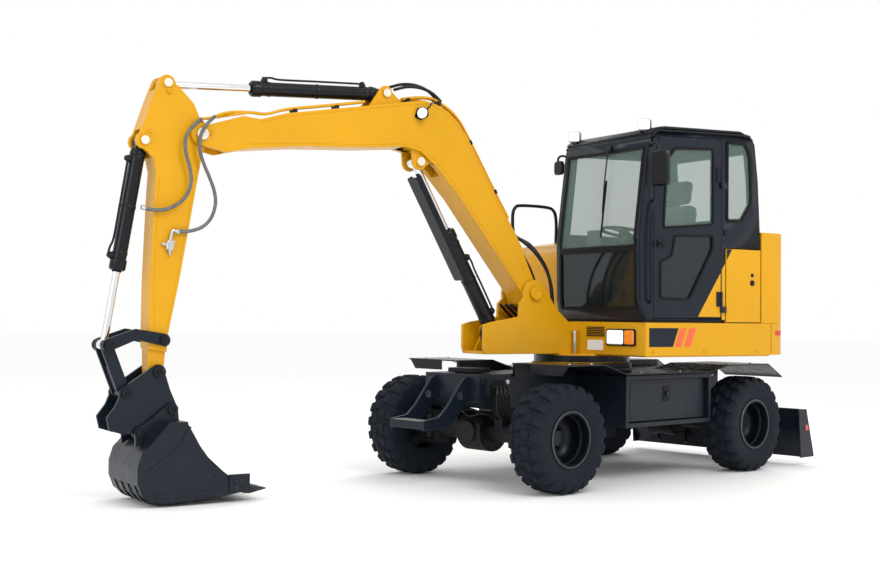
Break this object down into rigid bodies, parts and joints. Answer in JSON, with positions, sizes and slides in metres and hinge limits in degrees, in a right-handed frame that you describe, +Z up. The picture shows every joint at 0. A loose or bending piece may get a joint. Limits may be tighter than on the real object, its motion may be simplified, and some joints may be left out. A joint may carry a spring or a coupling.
{
  "type": "wheeled excavator",
  "caption": "Compact wheeled excavator with slewing cab, one-piece boom, arm and digging bucket, steered front axle, rear dozer blade, opening doors and cylinders that follow their joints.",
  "frame": {"origin": "Middle of the machine's bounding box, on the ground under the wheels.", "axes": "+X is the way the undercarriage drives forward, +Y its left side, +Z up. The upper structure stands slewed 10 degrees clockwise, seen from above."},
  "size_m": [6.2162, 2.1114, 3.053],
  "materials": {
    "chassis": "dark slate grey paint",
    "deck_left": "dark slate grey paint",
    "deck_right": "dark slate grey paint",
    "tool_box_left": "dark slate grey paint",
    "tool_box_right": "dark slate grey paint",
    "front_step": "dark slate grey paint",
    "front_axle": "cast, satin black paint",
    "rear_axle": "cast, satin black paint",
    "tool_box_left_door": "dark slate grey paint",
    "tool_box_right_door": "dark slate grey paint",
    "knuckle_left": "cast, satin black paint",
    "knuckle_right": "cast, satin black paint",
    "rim_front_left": "dark slate grey paint",
    "tyre_front_left": "matt rubber",
    "rim_front_right": "dark slate grey paint",
    "tyre_front_right": "matt rubber",
    "rim_rear_left": "dark slate grey paint",
    "tyre_rear_left": "matt rubber",
    "rim_rear_right": "dark slate grey paint",
    "tyre_rear_right": "matt rubber",
    "blade": "dark slate grey paint",
    "blade_cylinder": "dark slate grey paint",
    "blade_rod": "hard chrome, polished",
    "swing_frame": "warm yellow paint, satin",
    "counterweight": "warm yellow paint, satin",
    "engine_block": "cast, satin black paint",
    "rear_hood": "warm yellow paint, satin",
    "right_hood": "warm yellow paint, satin",
    "cab": "dark slate grey paint",
    "cab_floor": "moulded black plastic",
    "seat": "woven seat cloth",
    "windscreen_upper": "tinted safety glass",
    "windscreen_lower": "tinted safety glass",
    "quarter_glass": "tinted safety glass",
    "right_glass": "tinted safety glass",
    "rear_glass": "tinted safety glass",
    "mirror_left": "moulded black plastic",
    "rear_door": "warm yellow paint, satin",
    "engine_door": "warm yellow paint, satin",
    "cab_door": "dark slate grey paint",
    "door_glass_upper": "tinted safety glass",
    "door_glass_lower": "tinted safety glass",
    "steering_wheel": "moulded black plastic",
    "boom": "warm yellow paint, satin",
    "boom_cylinder": "dark slate grey paint",
    "boom_rod": "hard chrome, polished",
    "arm": "warm yellow paint, satin",
    "arm_cylinder": "dark slate grey paint",
    "arm_rod": "hard chrome, polished",
    "quick_coupler": "dark slate grey paint",
    "bucket": "dark slate grey paint",
    "idler_links": "dark slate grey paint",
    "bucket_link": "dark slate grey paint",
    "bucket_cylinder": "dark slate grey paint",
    "bucket_rod": "hard chrome, polished"
  },
  "bodies": {
    "chassis": {"chassis": "chassis", "deck_left": "deck_left", "deck_right": "deck_right", "tool_box_left": "tool_box_left", "tool_box_right": "tool_box_right", "front_step": "front_step", "front_axle": "front_axle", "rear_axle": "rear_axle"},
    "tool_box_door_left": {"tool_box_left_door": "tool_box_left_door"},
    "tool_box_door_right": {"tool_box_right_door": "tool_box_right_door"},
    "knuckle_left": {"knuckle_left": "knuckle_left"},
    "knuckle_right": {"knuckle_right": "knuckle_right"},
    "wheel_front_left": {"rim_front_left": "rim_front_left", "tyre_front_left": "tyre_front_left"},
    "wheel_front_right": {"rim_front_right": "rim_front_right", "tyre_front_right": "tyre_front_right"},
    "wheel_rear_left": {"rim_rear_left": "rim_rear_left", "tyre_rear_left": "tyre_rear_left"},
    "wheel_rear_right": {"rim_rear_right": "rim_rear_right", "tyre_rear_right": "tyre_rear_right"},
    "blade": {"blade": "blade"},
    "blade_barrel": {"blade_cylinder": "blade_cylinder"},
    "blade_rod_body": {"blade_rod": "blade_rod"},
    "upper": {"swing_frame": "swing_frame", "counterweight": "counterweight", "engine_block": "engine_block", "rear_hood": "rear_hood", "right_hood": "right_hood", "cab": "cab", "cab_floor": "cab_floor", "seat": "seat", "windscreen_upper": "windscreen_upper", "windscreen_lower": "windscreen_lower", "quarter_glass": "quarter_glass", "right_glass": "right_glass", "rear_glass": "rear_glass", "mirror_left": "mirror_left"},
    "rear_door": {"rear_door": "rear_door"},
    "engine_door": {"engine_door": "engine_door"},
    "cab_door": {"cab_door": "cab_door", "door_glass_upper": "door_glass_upper", "door_glass_lower": "door_glass_lower"},
    "steering_wheel": {"steering_wheel": "steering_wheel"},
    "boom": {"boom": "boom"},
    "boom_barrel": {"boom_cylinder": "boom_cylinder"},
    "boom_rod_body": {"boom_rod": "boom_rod"},
    "arm": {"arm": "arm"},
    "arm_barrel": {"arm_cylinder": "arm_cylinder"},
    "arm_rod_body": {"arm_rod": "arm_rod"},
    "bucket": {"quick_coupler": "quick_coupler", "bucket": "bucket"},
    "idler": {"idler_links": "idler_links"},
    "link": {"bucket_link": "bucket_link"},
    "bucket_barrel": {"bucket_cylinder": "bucket_cylinder"},
    "bucket_rod_body": {"bucket_rod": "bucket_rod"}
  },
  "joints": [
    {"name": "slew", "type": "hinge", "parent": "chassis", "child": "upper", "pos_m": [-1.013, -0.071, 0.95], "axis": [0, 0, 1], "continuous": true},
    {"name": "steer_left", "type": "hinge", "parent": "chassis", "child": "knuckle_left", "pos_m": [0.162, 0.529, 0.405], "axis": [0, 0, 1], "range_deg": [-30, 30]},
    {"name": "steer_right", "type": "hinge", "parent": "chassis", "child": "knuckle_right", "pos_m": [0.162, -0.671, 0.405], "axis": [0, 0, 1], "range_deg": [-30, 30]},
    {"name": "spin_front_left", "type": "hinge", "parent": "knuckle_left", "child": "wheel_front_left", "pos_m": [0.162, 0.729, 0.405], "axis": [0, 1, 0], "continuous": true},
    {"name": "spin_rear_left", "type": "hinge", "parent": "chassis", "child": "wheel_rear_left", "pos_m": [-2.188, 0.729, 0.405], "axis": [0, 1, 0], "continuous": true},
    {"name": "spin_front_right", "type": "hinge", "parent": "knuckle_right", "child": "wheel_front_right", "pos_m": [0.162, -0.871, 0.405], "axis": [0, 1, 0], "continuous": true},
    {"name": "spin_rear_right", "type": "hinge", "parent": "chassis", "child": "wheel_rear_right", "pos_m": [-2.188, -0.871, 0.405], "axis": [0, 1, 0], "continuous": true},
    {"name": "blade_lift", "type": "hinge", "parent": "chassis", "child": "blade", "pos_m": [-2.468, -0.071, 0.52], "axis": [0, 1, 0], "range_deg": [-18, 25]},
    {"name": "blade_cylinder_tilt", "type": "hinge", "parent": "chassis", "child": "blade_barrel", "pos_m": [-2.608, -0.071, 0.765], "axis": [0, 1, 0], "range_deg": [-13.02, 18.08]},
    {"name": "blade_rod_slide", "type": "slide", "parent": "blade_barrel", "child": "blade_rod_body", "axis": [-0.5377, 0, -0.8432], "range_m": [-0.1173, 0.0844]},
    {"name": "tool_box_door_left", "type": "hinge", "parent": "chassis", "child": "tool_box_door_left", "pos_m": [-1.013, 0.704, 0.485], "axis": [-1, 0, 0], "range_deg": [0, 85]},
    {"name": "tool_box_door_right", "type": "hinge", "parent": "chassis", "child": "tool_box_door_right", "pos_m": [-1.013, -0.846, 0.485], "axis": [1, 0, 0], "range_deg": [0, 85]},
    {"name": "boom_lift", "type": "hinge", "parent": "upper", "child": "boom", "pos_m": [-0.40242, -0.17866, 1.49], "axis": [-0.1736, -0.9848, 0], "range_deg": [-45, 30]},
    {"name": "boom_cylinder_tilt", "type": "hinge", "parent": "upper", "child": "boom_barrel", "pos_m": [-0.09713, -0.23249, 1.19], "axis": [-0.1736, -0.9848, 0], "range_deg": [-45.64, 30.42]},
    {"name": "boom_rod_slide", "type": "slide", "parent": "boom_barrel", "child": "boom_rod_body", "axis": [0.4927, -0.0869, 0.8658], "range_m": [-0.3404, 0.2269]},
    {"name": "arm_swing", "type": "hinge", "parent": "boom", "child": "arm", "pos_m": [2.42207, -0.6767, 2.55093], "axis": [0.1736, 0.9848, 0], "range_deg": [-35, 40]},
    {"name": "arm_cylinder_tilt", "type": "hinge", "parent": "boom", "child": "arm_barrel", "pos_m": [0.94427, -0.41612, 2.99596], "axis": [0.1736, 0.9848, 0], "range_deg": [-4.79, 5.47]},
    {"name": "arm_rod_slide", "type": "slide", "parent": "arm_barrel", "child": "arm_rod_body", "axis": [0.9829, -0.1733, -0.0617], "range_m": [-0.2121, 0.2424]},
    {"name": "bucket_curl", "type": "hinge", "parent": "arm", "child": "bucket", "pos_m": [2.70567, -0.7267, 0.89579], "axis": [0.1736, 0.9848, 0], "range_deg": [-100, 30]},
    {"name": "idler_swing", "type": "hinge", "parent": "arm", "child": "idler", "pos_m": [2.6682, -0.72009, 1.11451], "axis": [0.1736, 0.9848, 0], "range_deg": [-60.99, 18.3]},
    {"name": "link_swing", "type": "hinge", "parent": "idler", "child": "link", "pos_m": [3.04885, -0.78721, 1.08069], "axis": [0.1736, 0.9848, 0], "range_deg": [-15.41, 51.37]},
    {"name": "bucket_cylinder_tilt", "type": "hinge", "parent": "arm", "child": "bucket_barrel", "pos_m": [2.81925, -0.74673, 2.479], "axis": [0.1736, 0.9848, 0], "range_deg": [-0.46, 1.55]},
    {"name": "bucket_rod_slide", "type": "slide", "parent": "bucket_barrel", "child": "bucket_rod_body", "axis": [0.162, -0.0286, -0.9864], "range_m": [-0.38, 0.114]},
    {"name": "cab_door_hinge", "type": "hinge", "parent": "upper", "child": "cab_door", "pos_m": [-1.57343, 0.94881, 2], "axis": [0, 0, 1], "range_deg": [0, 85]},
    {"name": "engine_door_hinge", "type": "hinge", "parent": "upper", "child": "engine_door", "pos_m": [-1.64665, 0.94243, 1.6], "axis": [0, 0, -1], "range_deg": [0, 90]},
    {"name": "rear_door_hinge", "type": "hinge", "parent": "upper", "child": "rear_door", "pos_m": [-2.66063, -0.34201, 1.6], "axis": [0, 0, 1], "range_deg": [0, 100]},
    {"name": "steering_wheel_turn", "type": "hinge", "parent": "upper", "child": "steering_wheel", "pos_m": [-1.07663, 0.33116, 2.008], "axis": [-0.1795, 0.0316, 0.9833], "continuous": true}
  ],
  "couplings": [
    {"joint": "steer_right", "follows": "steer_left", "ratio": 1},
    {"joint": "blade_cylinder_tilt", "follows": "blade_lift", "ratio": 0.6889},
    {"joint": "blade_rod_slide", "follows": "blade_lift", "m_per_rad": -0.2559},
    {"joint": "boom_cylinder_tilt", "follows": "boom_lift", "ratio": 0.9658},
    {"joint": "boom_rod_slide", "follows": "boom_lift", "m_per_rad": 0.4127},
    {"joint": "arm_cylinder_tilt", "follows": "arm_swing", "ratio": 0.1303},
    {"joint": "arm_rod_slide", "follows": "arm_swing", "m_per_rad": 0.3307},
    {"joint": "idler_swing", "follows": "bucket_curl", "ratio": 0.5808},
    {"joint": "link_swing", "follows": "bucket_curl", "ratio": -0.4892},
    {"joint": "bucket_cylinder_tilt", "follows": "bucket_curl", "ratio": -0.0147},
    {"joint": "bucket_rod_slide", "follows": "bucket_curl", "m_per_rad": 0.2074}
  ]
}
